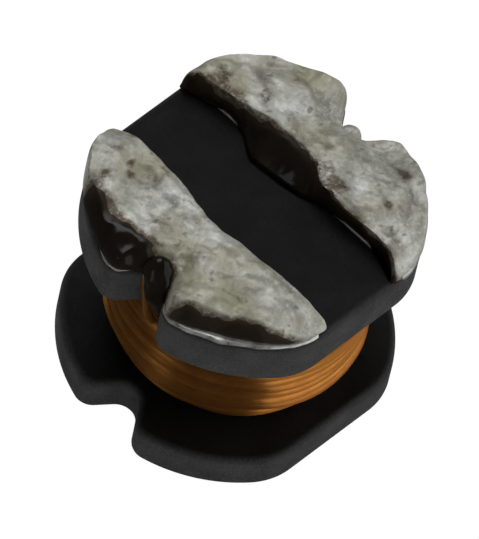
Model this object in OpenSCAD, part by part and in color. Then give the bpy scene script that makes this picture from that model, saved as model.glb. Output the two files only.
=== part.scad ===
// Surface-mount wirewound inductor on an open ferrite drum.
// One sintered drum (two notched flanges on a post), one enamelled winding whose
// two ends rise through the notches, two fired terminals and two solder deposits.
// Z runs along the drum's axis, with the terminals on top. X runs from terminal
// to terminal. The origin is the centre of the plain flange's outer face.

/* [Drum core] */
// Length along X, from curved side to curved side
body_l = 5.8; // [5.6:0.05:6.2]
// Width along Y, from flat side to flat side
body_w = 5.26; // [4.9:0.02:5.4]
// Height of the drum, without terminals and solder
core_h = 4.12; // [3.4:0.04:5.4]
// Thickness of the flange that carries the terminals
terminal_flange_t = 0.92; // [0.7:0.02:1.2]
// Thickness of the plain flange
plain_flange_t = 0.73; // [0.5:0.01:1.2]
// Diameter of the post inside the winding
post_d = 2.6; // [1.8:0.1:3.2]
// How far the curved sides' radius exceeds half the length
side_extra_r = 0.05; // [0:0.01:0.2]
// Radius between a flat side and a curved side
corner_r = 1.23; // [0.6:0.01:1.4]
// Rounding of the flanges' rims
rim_r = 0.13; // [0.05:0.01:0.18]

/* [Wire notches] */
// Depth of each notch below the curved side
notch_depth = 0.65; // [0.6:0.01:0.7]
// Radius of the notch's floor
notch_floor_r = 0.32; // [0.3:0.01:0.38]
// Slope of the notch's sides from its middle line, in degrees
notch_flare = 36; // [25:1:42]
// Radius of the lips where the notch meets the curved side
notch_lip_r = 0.34; // [0.32:0.01:0.38]

/* [Winding] */
// Diameter of the enamelled wire
wire_d = 0.17; // [0.12:0.01:0.18]
// Diameter over the winding at mid-height
winding_d = 4.6; // [3.9:0.02:4.7]
// How much smaller the winding's radius is at its two ends
winding_crown = 0.05; // [0:0.01:0.2]
// How far the turns next to the plain flange step in
winding_taper = 0.33; // [0:0.01:0.4]
// Height over which those turns step in
winding_taper_h = 0.75; // [0.4:0.05:1.2]
// Play between the winding and the drum
winding_play = 0.02; // [0.01:0.01:0.06]
// Angle round the winding over which the top turn moves out to its notch, in degrees
lead_wrap = 50; // [30:1:70]
// Bend radius where a lead turns up into its notch
lead_turn_r = 0.25; // [0.2:0.01:0.3]
// Length of wire that lies straight on each terminal
lead_tail = 1; // [0.5:0.05:1.1]
// Clearance round a lead
lead_play = 0.015; // [0.01:0.005:0.03]
// Thickness of the solder under a lead
lead_lift = 0.03; // [0.02:0.01:0.06]

/* [Terminals] */
// Width of the bare ferrite between the terminals
channel_w = 1.92; // [1.6:0.02:2]
// Thickness of the fired terminal metal
terminal_t = 0.05; // [0.03:0.01:0.06]
// Distance from a terminal's edge to the flange's edge
terminal_setback = 0.05; // [0.03:0.01:0.08]

/* [Solder] */
// Height of the solder above the terminal metal
solder_h = 0.4; // [0.28:0.01:0.5]
// Width of the rounded shoulder at the solder's edge
solder_shoulder = 0.16; // [0.1:0.01:0.22]
// Radius, in plan, of the solder's corners next to the bare ferrite
solder_corner_r = 0.32; // [0.28:0.02:0.5]

/* [Hidden] */
$fn = 96;

half_l = body_l / 2;
half_w = body_w / 2;
side_r = half_l + side_extra_r;
floor_x = half_l - notch_depth;
wire_r = wire_d / 2;
past = 1;                        // how far a cutter reaches past what it cuts

// Centres of the arcs that make up a flange's outline, for the quarter x > 0, y > 0
side_x = half_l - side_r;
corner_y = half_w - corner_r;
corner_x = side_x + sqrt(pow(side_r - corner_r, 2) - pow(corner_y, 2));
corner_a = atan2(corner_y, corner_x - side_x);
notch_x = floor_x + notch_floor_r;
lip_off = notch_floor_r + notch_lip_r;
lip = lip_centre();
lip_a = atan2(lip.y, lip.x - side_x);

// Heights
window_h = core_h - plain_flange_t - terminal_flange_t;
solder_z = core_h + terminal_t;

// Winding
turns = floor((window_h - 2 * winding_play) / wire_d);
winding_z = plain_flange_t + (window_h - turns * wire_d) / 2;
mid_z = winding_z + turns * wire_d / 2;
groove_depth = 0.4 * wire_r;
// Centres of the turns in the half section, from the lowest up
turn_row = [for (i = [0:turns - 1]) let (z = winding_z + (i + 0.5) * wire_d,
    crown = winding_crown * pow(2 * (z - mid_z) / window_h, 2),
    taper = winding_taper * max(0, 1 - (z - winding_z) / winding_taper_h))
    [winding_d / 2 - wire_r - crown - taper, z]];

// Leads, for the one at x > 0: the top turn moves out to the notch, turns up, rises
// along the notch's floor and folds over the edge onto the terminal
lead_x = max(floor_x, winding_d / 2) + lead_play + wire_r;
lead_z = turn_row[turns - 1].y + winding_play / 2;
fold_r = terminal_t + lead_lift + lead_play + wire_r;
fold = [lead_x - fold_r, 0, core_h];
turn_up = [lead_x, -lead_turn_r, lead_z + lead_turn_r];
leave_r = turn_row[turns - 1].x - wire_r;
reach_r = norm([lead_x, lead_turn_r]);
reach_a = atan2(-lead_turn_r, lead_x);

// Stations along a lead: [point on its centre line, two directions across it]
lead_out = [for (i = [0:9]) let (a = reach_a - lead_wrap * (1 - i / 10), n = [cos(a), sin(a), 0],
    r = leave_r + (reach_r - leave_r) * (1 - cos(18 * i)) / 2)
    [r * n + [0, 0, lead_z], n, [0, 0, -1]]];
lead_turn = [for (i = [0:6]) let (a = 90 * i / 6, b = [0, sin(a), -cos(a)])
    [turn_up + lead_turn_r * b, [1, 0, 0], b]];
lead_fold = [for (i = [0:5]) let (a = 90 * i / 5, n = [cos(a), 0, sin(a)])
    [fold + fold_r * n, n, [0, 1, 0]]];
lead_tip = [fold + [-lead_tail, 0, fold_r], [0, 0, 1], [0, 1, 0]];

// Solder: centre of its corner next to the bare ferrite, which meets the rim's arc
solder_corner_e = terminal_setback + solder_corner_r;
solder_corner_x = channel_w / 2 + solder_corner_r;
on_corner = solder_corner_x - corner_x < (corner_r - solder_corner_e) * cos(corner_a);
solder_corner = [solder_corner_x, on_corner
    ? corner_y + sqrt(pow(corner_r - solder_corner_e, 2) - pow(max(solder_corner_x - corner_x, 0), 2))
    : sqrt(pow(side_r - solder_corner_e, 2) - pow(solder_corner_x - side_x, 2))];
solder_corner_a = on_corner
    ? atan2(solder_corner.y - corner_y, max(solder_corner_x - corner_x, 0))
    : atan2(solder_corner.y, solder_corner_x - side_x);

// Centre of a notch's lip: as far from the notch's sloping side as its own radius,
// and as far inside the curved side
function lip_centre() =
    let (u = [cos(notch_flare), sin(notch_flare)],
         p = [notch_x - side_x - lip_off * u.y, lip_off * u.x],
         b = p * u,
         c = p * p - pow(side_r - notch_lip_r, 2))
    [side_x, 0] + p + u * (sqrt(b * b - c) - b);

function arc(c, r, a0, a1, n) =
    [for (i = [0:n]) c + r * [cos(a0 + (a1 - a0) * i / n), sin(a0 + (a1 - a0) * i / n)]];

// Flange

// A disc with a rounded rim, standing on z = 0
module rounded_disc(r, t) {
    rotate_extrude() {
        square([r - rim_r, t]);
        translate([0, rim_r]) square([r, t - 2 * rim_r]);
        for (z = [rim_r, t - rim_r]) translate([r - rim_r, z]) circle(r = rim_r);
    }
}

// A bar along X with rounded edges, standing on z = 0
module rounded_bar(w, t) {
    rotate([90, 0, 90]) linear_extrude(body_l + past, center = true) {
        translate([rim_r - w / 2, 0]) square([w - 2 * rim_r, t]);
        translate([-w / 2, rim_r]) square([w, t - 2 * rim_r]);
        for (s = [-1, 1]) for (z = [rim_r, t - rim_r])
            translate([s * (w / 2 - rim_r), z]) circle(r = rim_r);
    }
}

// The quarter of a turn between a flat side and a curved side
module corner_wedge() {
    far = corner_r + past;
    polygon([[corner_x, corner_y], [corner_x, corner_y + far],
             [corner_x + far, corner_y + far],
             [corner_x, corner_y] + 1.5 * far * [cos(corner_a), sin(corner_a)]]);
}

// Half of a notch in plan, grown by `grow` on every side
module half_notch(grow = 0) {
    r = notch_floor_r + grow;
    u = [cos(notch_flare), sin(notch_flare)];
    touch = [notch_x - r * u.y, r * u.x];
    lip_r = notch_lip_r - grow;
    lip_side = lip + lip_r * [u.y, -u.x];
    lip_rim = lip + (lip_r + past) * [cos(lip_a), sin(lip_a)];
    intersection() {
        translate([notch_x, 0]) circle(r = r);
        translate([notch_x - r, 0]) square(2 * r);
    }
    difference() {
        polygon([[notch_x, 0], touch, lip_side, lip, lip_rim, [lip_rim.x, 0]]);
        translate(lip) circle(r = lip_r);
    }
}

module notch_outline(grow = 0) {
    for (s = [0, 1]) mirror([0, s]) half_notch(grow);
}

module flange(t) {
    difference() {
        intersection() {
            translate([side_x, 0, 0]) rounded_disc(side_r, t);
            translate([-side_x, 0, 0]) rounded_disc(side_r, t);
            rounded_bar(body_w, t);
        }
        for (mx = [0, 1]) mirror([mx, 0, 0]) {
            for (my = [0, 1]) mirror([0, my, 0]) difference() {
                translate([0, 0, -past]) linear_extrude(t + 2 * past) corner_wedge();
                translate([corner_x, corner_y, 0]) rounded_disc(corner_r, t);
            }
            translate([0, 0, -past]) linear_extrude(t + 2 * past) notch_outline();
        }
    }
}

// Sub-parts

// The sintered drum: plain flange, post and terminal flange in one piece
module ferrite_core() {
    color("#343436") {
        flange(plain_flange_t);
        translate([0, 0, core_h - terminal_flange_t]) flange(terminal_flange_t);
        cylinder(h = core_h, d = post_d);
    }
}

// Joins rings of the same number of points into one closed solid
module loft(rings) {
    n = len(rings[0]);
    last = len(rings) - 1;
    sides = [for (k = [0:last - 1]) for (i = [0:n - 1])
        let (j = (i + 1) % n) [k * n + i, (k + 1) * n + i, (k + 1) * n + j, k * n + j]];
    polyhedron([for (ring = rings) each ring],
               concat([[for (i = [0:n - 1]) i]], sides, [[for (i = [n - 1:-1:0]) last * n + i]]));
}

// A round wire through stations
module wire(stations, r) {
    sides = 16;
    loft([for (s = stations) [for (k = [0:sides - 1]) let (a = 360 * k / sides)
        s[0] + r * (cos(a) * s[1] + sin(a) * s[2])]]);
}

// Half section of the winding: its turns show as ridges on the outside
module winding_section() {
    inner_r = post_d / 2 + winding_play;
    polygon(concat([[inner_r, turn_row[0].y - wire_r / 2],
                    for (p = turn_row) [p.x + wire_r - groove_depth, p.y],
                    [inner_r, turn_row[turns - 1].y + wire_r / 2]]));
    for (p = turn_row) translate(p) circle(r = wire_r, $fn = 24);
}

// The winding and its two leads, one wire from end to end
module winding() {
    color("#b8742c") {
        rotate_extrude() winding_section();
        for (m = [0, 1]) mirror([m, 0, 0])
            wire(concat(lead_out, lead_turn, lead_fold, [lead_tip]), wire_r);
    }
}

// Plan of the terminal at x > 0
module terminal_outline() {
    e = terminal_setback;
    difference() {
        intersection() {
            translate([channel_w / 2, -(half_w - e)]) square([half_l, 2 * (half_w - e)]);
            translate([side_x, 0]) circle(r = side_r - e);
        }
        for (my = [0, 1]) mirror([0, my]) difference() {
            corner_wedge();
            translate([corner_x, corner_y]) circle(r = corner_r - e);
        }
        notch_outline(e);
    }
}

module terminal() {
    color("#b9bab6") translate([0, 0, core_h]) linear_extrude(terminal_t) terminal_outline();
}

module start_terminal() { terminal(); }
module finish_terminal() { mirror([1, 0, 0]) terminal(); }

// Half outline of the solder, from the inner edge round to the middle of the notch,
// drawn `inset` inside the terminal's edge. Every arc keeps its centre as it shrinks.
function solder_half(inset) =
    let (e = terminal_setback + inset)
    concat(
        arc(solder_corner, solder_corner_r - inset, 180, solder_corner_a, 6),
        on_corner ? arc([corner_x, corner_y], corner_r - e, solder_corner_a, corner_a, 6) : [],
        arc([side_x, 0], side_r - e, on_corner ? corner_a : solder_corner_a, lip_a, 10),
        arc(lip, max(notch_lip_r - e, 0.01), lip_a, notch_flare - 90, 8),
        arc([notch_x, 0], notch_floor_r + e, notch_flare + 90, 180, 6));

function solder_ring(inset, z) =
    let (half = solder_half(inset), n = len(half))
    concat([for (p = half) [p.x, -p.y, z]],
           [for (i = [n - 2:-1:0]) [half[i].x, half[i].y, z]]);

// The room that a lead takes up in the solder
module lead_bore() {
    translate(lead_tip[0] - [lead_play, 0, 0]) rotate([0, 90, 0])
        cylinder(h = lead_tail + past, r = wire_r + lead_play);
}

// A deposit of solder: steep sides that round over into a level top, with the lead inside
module solder() {
    steps = 6;
    color("#a9aaa3") difference() {
        loft([for (k = [0:steps]) let (a = 90 * k / steps)
            solder_ring(solder_shoulder * (1 - cos(a)), solder_z + solder_h * sin(a))]);
        lead_bore();
    }
}

module start_solder() { solder(); }
module finish_solder() { mirror([1, 0, 0]) solder(); }

ferrite_core();
winding();
start_terminal();
finish_terminal();
start_solder();
finish_solder();
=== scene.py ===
# %% [markdown]
# # A drum core inductor
# The part is a small ferrite spool with copper wire wound on it. The spool has two
# flat-sided flanges, and two notches in each flange let the wire's ends pass. One
# flange carries two metal terminals, and each is covered with a lump of solder that
# also holds one end of the wire. The packed construction model is the fixed frame:
# every surface here is worked out from its sizes.

# %% Load the construction model
import math

import bpy
import numpy as np
from mathutils import Matrix, Vector


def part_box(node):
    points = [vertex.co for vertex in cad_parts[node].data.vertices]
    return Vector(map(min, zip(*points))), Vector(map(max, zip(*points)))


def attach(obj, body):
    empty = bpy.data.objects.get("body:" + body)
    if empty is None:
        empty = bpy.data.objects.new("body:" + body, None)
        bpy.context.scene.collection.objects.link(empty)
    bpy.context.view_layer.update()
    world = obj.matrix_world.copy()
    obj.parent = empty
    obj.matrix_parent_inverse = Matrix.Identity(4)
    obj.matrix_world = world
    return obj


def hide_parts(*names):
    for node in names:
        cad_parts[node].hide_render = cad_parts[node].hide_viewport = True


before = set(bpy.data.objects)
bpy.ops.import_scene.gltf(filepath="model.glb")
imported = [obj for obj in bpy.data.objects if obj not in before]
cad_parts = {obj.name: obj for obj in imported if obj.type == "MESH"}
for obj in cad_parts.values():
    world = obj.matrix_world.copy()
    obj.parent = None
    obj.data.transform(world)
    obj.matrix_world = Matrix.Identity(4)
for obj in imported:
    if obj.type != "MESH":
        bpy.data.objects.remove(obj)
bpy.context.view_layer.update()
print("construction nodes:", len(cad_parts))


# %% [markdown]
# ## Sizes
# Blender works in metres, so a millimetre is a named factor. The large sizes come from
# the frame's own boxes. The small ones, such as the radii of a notch, are drawing sizes
# of this kind of core, and each is named once here.

# %% Sizes
MM = 0.001

core_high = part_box("ferrite_core")[1]
terminal_low, terminal_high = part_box("start_terminal")
winding_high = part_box("winding")[1]

HALF_LENGTH = 2.9 * MM
HALF_WIDTH = core_high.y
CORE_TOP = core_high.z
TERMINAL_TOP = terminal_high.z
CHANNEL_HALF = terminal_low.x

SIDE_RADIUS = 2.95 * MM
CORNER_RADIUS = 1.23 * MM
RIM_RADIUS = 0.13 * MM
NOTCH_DEPTH = 0.65 * MM
NOTCH_FLOOR_RADIUS = 0.32 * MM
NOTCH_FLARE = math.radians(36)
NOTCH_LIP_RADIUS = 0.34 * MM

TERMINAL_FLANGE = 0.92 * MM
PLAIN_FLANGE = 0.73 * MM
POST_RADIUS = 1.3 * MM

WIRE_RADIUS = 0.085 * MM
WINDING_RADIUS = winding_high.y
WINDING_CROWN = 0.05 * MM
WINDING_TAPER = 0.33 * MM
TAPER_HEIGHT = 0.75 * MM
WINDING_GAP = 0.02 * MM
OFF_CENTRE = np.array([-0.02, -0.08]) * MM
LEAD_GAP = 0.015 * MM
LEAD_WRAP = math.radians(50)
LEAD_BEND = 0.25 * MM
LEAD_FOLD = 0.10 * MM
LEAD_TAIL = 0.8 * MM
LEAD_SHIFT = 0.15 * MM

print("core top", round(CORE_TOP / MM, 3), "terminal top", round(TERMINAL_TOP / MM, 3),
      "winding radius", round(WINDING_RADIUS / MM, 3), "mm")


# %% [markdown]
# ## Skins from rings
# Every piece here is a closed skin. It is a stack of rings, each the same closed loop of
# points moved, shrunk or bent a little, with four-sided faces between one ring and the
# next and a fan of triangles at both ends. Numpy works out all the points at once. The
# skin's volume tells whether the faces point outwards: if it comes out negative, every
# face is turned over.

# %% Skins
def ring_faces(levels, count):
    """Faces of a stack of rings: quads between neighbours, and a fan at each end whose
    middle point comes after all the ring points."""
    j = np.arange(count)
    after = (j + 1) % count
    low = np.arange(levels - 1)[:, None] * count
    quads = np.stack([low + j, low + after, low + count + after, low + count + j], axis=-1)
    last = (levels - 1) * count
    first_fan = np.stack([np.full(count, levels * count), after, j], axis=-1)
    last_fan = np.stack([np.full(count, levels * count + 1), last + j, last + after], axis=-1)
    return quads.reshape(-1, 4), np.concatenate([first_fan, last_fan])


def signed_volume(points, quads, fans):
    """Volume inside a closed skin: a sixth of the sum, over its triangles, of
    corner one dotted with the cross product of the other two."""
    triangles = np.concatenate([fans, quads[:, [0, 1, 2]], quads[:, [0, 2, 3]]])
    a, b, c = (points[triangles[:, k]] for k in range(3))
    return np.einsum("ij,ij->i", a, np.cross(b, c)).sum() / 6


print("faces of a skin of 3 rings of 8 points:", sum(map(len, ring_faces(3, 8))))


# %% Pieces
def ring_skin(stacks):
    """Points and faces of one or more closed skins. Each stack is an array of shape
    (levels, points round, 3)."""
    points, faces, start = [], [], 0
    for rings in stacks:
        levels, count = rings.shape[:2]
        skin = np.concatenate([rings.reshape(-1, 3), rings[:1].mean(1), rings[-1:].mean(1)])
        quads, fans = ring_faces(levels, count)
        if signed_volume(skin, quads, fans) < 0:
            quads, fans = quads[:, ::-1], fans[:, ::-1]
        points.append(skin)
        faces += (quads + start).tolist() + (fans + start).tolist()
        start += len(skin)
    return np.concatenate(points), faces


def add_object(name, data):
    """An object for a mesh, a lamp or a camera, linked into the scene."""
    thing = bpy.data.objects.new(name, data)
    bpy.context.scene.collection.objects.link(thing)
    return thing


def make_piece(name, stacks, material, values=None):
    """A smooth-shaded object at the origin, made of closed skins. `values` may hold
    attributes for the material to read: under each name, an array for each stack, with a
    number for each of its points."""
    points, faces = ring_skin(stacks)
    mesh = bpy.data.meshes.new(name)
    mesh.from_pydata(points.tolist(), [], faces)
    mesh.polygons.foreach_set("use_smooth", np.ones(len(faces), dtype=bool))
    for label, stacks_of_values in (values or {}).items():
        column = np.concatenate([np.append(v.reshape(-1), [v[0].mean(), v[-1].mean()])
                                 for v in stacks_of_values])
        mesh.attributes.new(label, "FLOAT", "POINT").data.foreach_set("value", column)
    mesh.materials.append(material)
    mesh.validate()
    size = (points.max(0) - points.min(0)) / MM
    print(f"{name}: {len(points)} points, {len(faces)} faces, size {np.round(size, 2)} mm")
    return add_object(name, mesh)


# %% [markdown]
# ## Unevenness
# Pressed, wound and melted surfaces are never quite even. One function gives all of
# them their unevenness: a sum of many cosine waves that run in random directions. Long
# waves are high and short ones low, as on most real surfaces. The random numbers are
# seeded, so each run makes the same object.

# %% Waves
def waves(points, seed, longest, shortest, count=48):
    """Unevenness at each point, about 1 at most and 0 on average: the sum of cosines of
    (direction . point + phase), each as high as it is long."""
    draw = np.random.default_rng(seed)
    length = np.geomspace(longest, shortest, count)
    direction = draw.normal(size=(count, points.shape[-1]))
    direction /= np.linalg.norm(direction, axis=1)[:, None]
    phase = draw.uniform(0, 2 * np.pi, count)
    height = length / np.sqrt((length ** 2).sum())
    angle = points @ (direction * (2 * np.pi / length)[:, None]).T + phase
    return np.cos(angle) @ height


print("waves along a line:", waves(np.arange(4.0)[:, None], 0, 4, 1).round(2).tolist())


# %% [markdown]
# ## The flange's outline
# Seen from above, a flange is a disc with two flat sides and two notches. Its outline is
# made of arcs: the notch's floor, the flare of the notch, the lip, the curved side, the
# corner and the flat side. Moved `inset` inwards, each arc keeps its centre and only
# its radius changes. That one rule gives the rounded rim, the terminals and the solder.

# %% Arcs and lines
def circle(angle):
    """Points (cos, sin) of a circle with radius 1."""
    return np.stack([np.cos(angle), np.sin(angle)], axis=-1)


def full_turn(count):
    """Equal angles all the way round."""
    return np.linspace(0, 2 * np.pi, count, endpoint=False)


def arc(centre, radius, start, end, count):
    """`count` points on a circle from angle `start` up to, but not at, angle `end`."""
    return centre + radius * circle(np.linspace(start, end, count, endpoint=False))


def line(start, end, count):
    """`count` points from `start` up to, but not at, `end`."""
    start, end = np.asarray(start), np.asarray(end)
    return start + np.linspace(0, 1, count, endpoint=False)[:, None] * (end - start)


side_x = HALF_LENGTH - SIDE_RADIUS
corner_y = HALF_WIDTH - CORNER_RADIUS
corner_x = side_x + math.sqrt((SIDE_RADIUS - CORNER_RADIUS) ** 2 - corner_y ** 2)
corner_angle = math.atan2(corner_y, corner_x - side_x)
notch_x = HALF_LENGTH - NOTCH_DEPTH + NOTCH_FLOOR_RADIUS
flare = circle(NOTCH_FLARE)
across = np.array([-flare[1], flare[0]])
print("middle of a notch at x", round(notch_x / MM, 3), "mm")


# %% Notch
def lip_centre():
    """The point as far from the notch's sloping side as the lip's radius, and as far
    inside the curved side: where a line beside the slope meets a smaller circle."""
    beside = np.array([notch_x - side_x, 0]) + (NOTCH_FLOOR_RADIUS + NOTCH_LIP_RADIUS) * across
    b = beside @ flare
    c = beside @ beside - (SIDE_RADIUS - NOTCH_LIP_RADIUS) ** 2
    return np.array([side_x, 0]) + beside + flare * (math.sqrt(b * b - c) - b)


lip = lip_centre()
lip_angle = math.atan2(lip[1], lip[0] - side_x)
print("middle of a lip, mm:", np.round(lip / MM, 3))


# %% Outline
def notch_half(inset):
    """Half of a notch, from the middle of its floor out to the end of its lip."""
    floor_end = np.array([notch_x, 0]) + (NOTCH_FLOOR_RADIUS + inset) * across
    lip_start = lip - (NOTCH_LIP_RADIUS - inset) * across
    return np.concatenate([
        arc((notch_x, 0), NOTCH_FLOOR_RADIUS + inset, math.pi, math.pi / 2 + NOTCH_FLARE, 12),
        line(floor_end, lip_start, 8),
        arc(lip, NOTCH_LIP_RADIUS - inset, NOTCH_FLARE - math.pi / 2, lip_angle, 14)])


def flange_outline(inset):
    """Closed loop of points round a flange, anticlockwise from the notch at +X."""
    quarter = np.concatenate([
        notch_half(inset),
        arc((side_x, 0), SIDE_RADIUS - inset, lip_angle, corner_angle, 22),
        arc((corner_x, corner_y), CORNER_RADIUS - inset, corner_angle, math.pi / 2, 18),
        line((corner_x, HALF_WIDTH - inset), (0, HALF_WIDTH - inset), 8),
        [[0, HALF_WIDTH - inset]]])
    back = quarter[::-1]
    return np.concatenate([quarter[:-1], (back * [-1, 1])[:-1],
                           (-quarter)[:-1], (back * [1, -1])[:-1]])


def at_height(outline, z):
    """A plan outline lifted to height z, which is one number or one for each point."""
    return np.column_stack([outline, np.broadcast_to(z, len(outline))])


print("points round a flange:", len(flange_outline(0)))


# %% [markdown]
# ## Finishes
# All the finishes are node materials on the Principled shader. Their patterns read
# Object coordinates, which are metres here, so a noise scale of 5000 gives grains a
# fifth of a millimetre wide. Small helpers add a node and wire it up in one line, and a
# class keeps them together with the material that they build.

# %% Node helpers
def add_node(tree, kind, links=None, **settings):
    """Adds a node to a tree. `links` gives its inputs values or other nodes' outputs."""
    node = tree.nodes.new(kind)
    for key, value in settings.items():
        setattr(node, key, value)
    for key, value in (links or {}).items():
        if isinstance(value, bpy.types.NodeSocket):
            tree.links.new(value, node.inputs[key])
        else:
            node.inputs[key].default_value = value
    return node


def arithmetic(tree, how, first, second):
    """One number worked out from two, each a value or another node's output."""
    return add_node(tree, "ShaderNodeMath", {0: first, 1: second}, operation=how).outputs[0]


# %% Materials made from nodes
class Finish:
    """A material with a Principled shader, and short ways to add nodes to it."""

    def __init__(self, name, **sockets):
        self.material = bpy.data.materials.new(name)
        self.material.use_nodes = True
        self.tree = self.material.node_tree
        self.shader = self.tree.nodes["Principled BSDF"]
        for socket, value in sockets.items():
            self.shader.inputs[socket.replace("_", " ")].default_value = value
        self.place = self.add("ShaderNodeTexCoord").outputs["Object"]

    def add(self, kind, links=None, **settings):
        return add_node(self.tree, kind, links, **settings)

    def noise(self, scale, detail=4, roughness=0.55, distortion=0.0):
        """Cloudy noise, `scale` clouds to the metre."""
        return self.add("ShaderNodeTexNoise", {
            "Vector": self.place, "Scale": scale, "Detail": detail, "Roughness": roughness,
            "Distortion": distortion}).outputs["Fac"]

    def ramp(self, value, *stops):
        """Turns a number into a colour: stops are (position, colour) pairs."""
        node = self.add("ShaderNodeValToRGB", {"Fac": value})
        elements = node.color_ramp.elements
        while len(elements) < len(stops):
            elements.new(0.5)
        for element, (position, colour) in zip(elements, stops):
            element.position = position
            element.color = (*colour, 1)
        return node.outputs["Color"]

    def spread(self, value, low, high, from_low=0.3, from_high=0.7):
        """Stretches a number from one range to another."""
        return self.add("ShaderNodeMapRange", {
            "Value": value, "From Min": from_low, "From Max": from_high,
            "To Min": low, "To Max": high}).outputs["Result"]

    def blend(self, amount, first, second, how="MIX"):
        """Mixes colours: inputs 0, 6 and 7 of the node are the amount and the two colours."""
        first, second = ((*colour, 1) if isinstance(colour, tuple) else colour
                         for colour in (first, second))
        return self.add("ShaderNodeMix", {0: amount, 6: first, 7: second}, data_type="RGBA",
                        blend_type=how).outputs[2]

    def math(self, how, first, second):
        return arithmetic(self.tree, how, first, second)

    def attribute(self, label):
        """The numbers that the mesh keeps under this name, one for each point."""
        return self.add("ShaderNodeAttribute", attribute_name=label).outputs["Fac"]

    def bump(self, height, distance, under=None):
        """Fine relief: `distance` is its depth in metres. It may lie on another relief."""
        links = {"Height": height, "Distance": distance, "Strength": 1.0}
        if under is not None:
            links["Normal"] = under
        return self.add("ShaderNodeBump", links).outputs["Normal"]

    def set(self, **links):
        """Wires outputs to the shader's own sockets."""
        for socket, output in links.items():
            self.tree.links.new(output, self.shader.inputs[socket.replace("_", " ")])
        return self.material


print("a finish can:", [name for name in vars(Finish) if not name.startswith("_")])


# %% [markdown]
# ### Ferrite
# Ferrite is a fired ceramic: nearly black, matt and finely grained. Its sides are as they
# came from the press, and its faces are ground. The sides are painted much lighter than
# the faces, and a little greener: that is painted light, for the light from the bright
# surroundings that falls on the sides and not on the faces. An attribute of the mesh says
# how far each point is turned from a face to a side. A faint sheen lightens what turns away.

# %% Ferrite
ferrite = Finish("ferrite", Specular_IOR_Level=0.10, Sheen_Weight=0.035, Sheen_Roughness=0.35)
ferrite_cloud = ferrite.noise(1800, detail=5)
ferrite_grain = ferrite.noise(26000, detail=3, roughness=0.6)
ferrite_pits = ferrite.noise(11000, detail=2)
ferrite_colour = ferrite.ramp(ferrite_cloud, (0.3, (0.0048, 0.0046, 0.0045)),
                              (0.7, (0.0076, 0.0073, 0.0072)))
ferrite_colour = ferrite.blend(ferrite.spread(ferrite_grain, 0.0, 0.55, 0.45, 0.75),
                               ferrite_colour, (0.013, 0.013, 0.0132))
# Painted light: the sides are multiplied about five times lighter, and a little greener, than
# the faces.
ferrite_colour = ferrite.blend(ferrite.attribute("pressed"), ferrite_colour,
                               (4.9, 5.3, 5.15), "MULTIPLY")
ferrite_relief = ferrite.bump(ferrite_grain, 0.007 * MM)
ferrite_relief = ferrite.bump(ferrite_pits, 0.010 * MM, under=ferrite_relief)
FERRITE = ferrite.set(Base_Color=ferrite_colour, Normal=ferrite_relief,
                      Roughness=ferrite.spread(ferrite_cloud, 0.48, 0.68))
print("finish:", FERRITE.name)


# %% [markdown]
# ### Enamelled copper
# The wire is copper under a thin clear amber enamel. The enamel is a coat on the
# shader: smooth and shiny over a metal that is a little rougher. Drawing the wire left
# fine lines along it, which spread a reflection across the wire but not along it, so the
# metal is anisotropic. Each stretch of wire has its own tone, the attribute `tone`.

# %% Enamelled copper
copper = Finish("enamelled_copper", Metallic=1.0, Anisotropic=1.0, Anisotropic_Rotation=0.25,
                Coat_Weight=0.2, Coat_Roughness=0.12, Coat_IOR=1.5)
along_wire = copper.add("ShaderNodeTangent", direction_type="RADIAL", axis="Z").outputs[0]
copper_cloud = copper.noise(3500, detail=4)
copper_tone = copper.ramp(copper.attribute("tone"), (0.0, (0.56, 0.210, 0.042)),
                          (0.5, (0.78, 0.320, 0.062)), (1.0, (0.94, 0.430, 0.095)))
copper_colour = copper.blend(copper.spread(copper_cloud, 0.0, 0.35), copper_tone,
                             (0.45, 0.150, 0.030))
COPPER = copper.set(Base_Color=copper_colour, Tangent=along_wire,
                    Roughness=copper.spread(copper_cloud, 0.38, 0.44),
                    Normal=copper.bump(copper.noise(9000, detail=3), 0.0012 * MM))
print("finish:", COPPER.name)


# %% [markdown]
# ### Solder
# Solder that has cooled by itself is dull silver. Its crystals make it grainy and
# mottled. Dried flux leaves tan and greenish clouds on it, small dark specks, brown spots
# and a brown edge beside the flux. The clouds and specks are noise, while the spots and
# the edge lie where the mesh's attribute `stain` says.

# %% Solder
solder = Finish("solder", Metallic=0.45)
solder_cloud = solder.noise(1300, detail=7, roughness=0.66)
solder_crystal = solder.noise(11000, detail=4, roughness=0.65)
solder_tan = solder.noise(800, detail=7, roughness=0.7, distortion=0.2)
solder_speck = solder.noise(5200, detail=2, roughness=0.4)
solder_colour = solder.ramp(solder_cloud, (0.34, (0.24, 0.24, 0.20)),
                            (0.48, (0.39, 0.39, 0.345)), (0.64, (0.66, 0.67, 0.64)))
solder_patch = solder.math("MULTIPLY", solder.attribute("stain"),
                           solder.spread(solder_crystal, 0.5, 1.3, 0.35, 0.6))
for pattern, most, none_at, most_at, tint in (
        (solder_crystal, 0.6, 0.50, 0.72, (0.74, 0.74, 0.72)),
        (solder_tan, 0.8, 0.43, 0.62, (0.31, 0.295, 0.19)),
        (solder_speck, 0.6, 0.65, 0.72, (0.11, 0.085, 0.05)),
        (solder_patch, 0.9, 0.15, 0.80, (0.075, 0.048, 0.026))):
    amount = solder.spread(pattern, 0.0, most, none_at, most_at)
    solder_colour = solder.blend(amount, solder_colour, tint)
solder_relief = solder.bump(solder_crystal, 0.012 * MM)
solder_relief = solder.bump(solder_cloud, 0.018 * MM, under=solder_relief)
SOLDER = solder.set(Base_Color=solder_colour, Normal=solder_relief,
                    Roughness=solder.spread(solder_crystal, 0.42, 0.60))
print("finish:", SOLDER.name)


# %% [markdown]
# ### Terminal metal and flux
# The terminal is a fired layer of silver. Only its edge shows, as a bright line under
# the solder. The flux is a resin that ran out of the solder and set hard: nearly black
# and very smooth, but browner and duller where the attribute `thin` says that it is thin.

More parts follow.
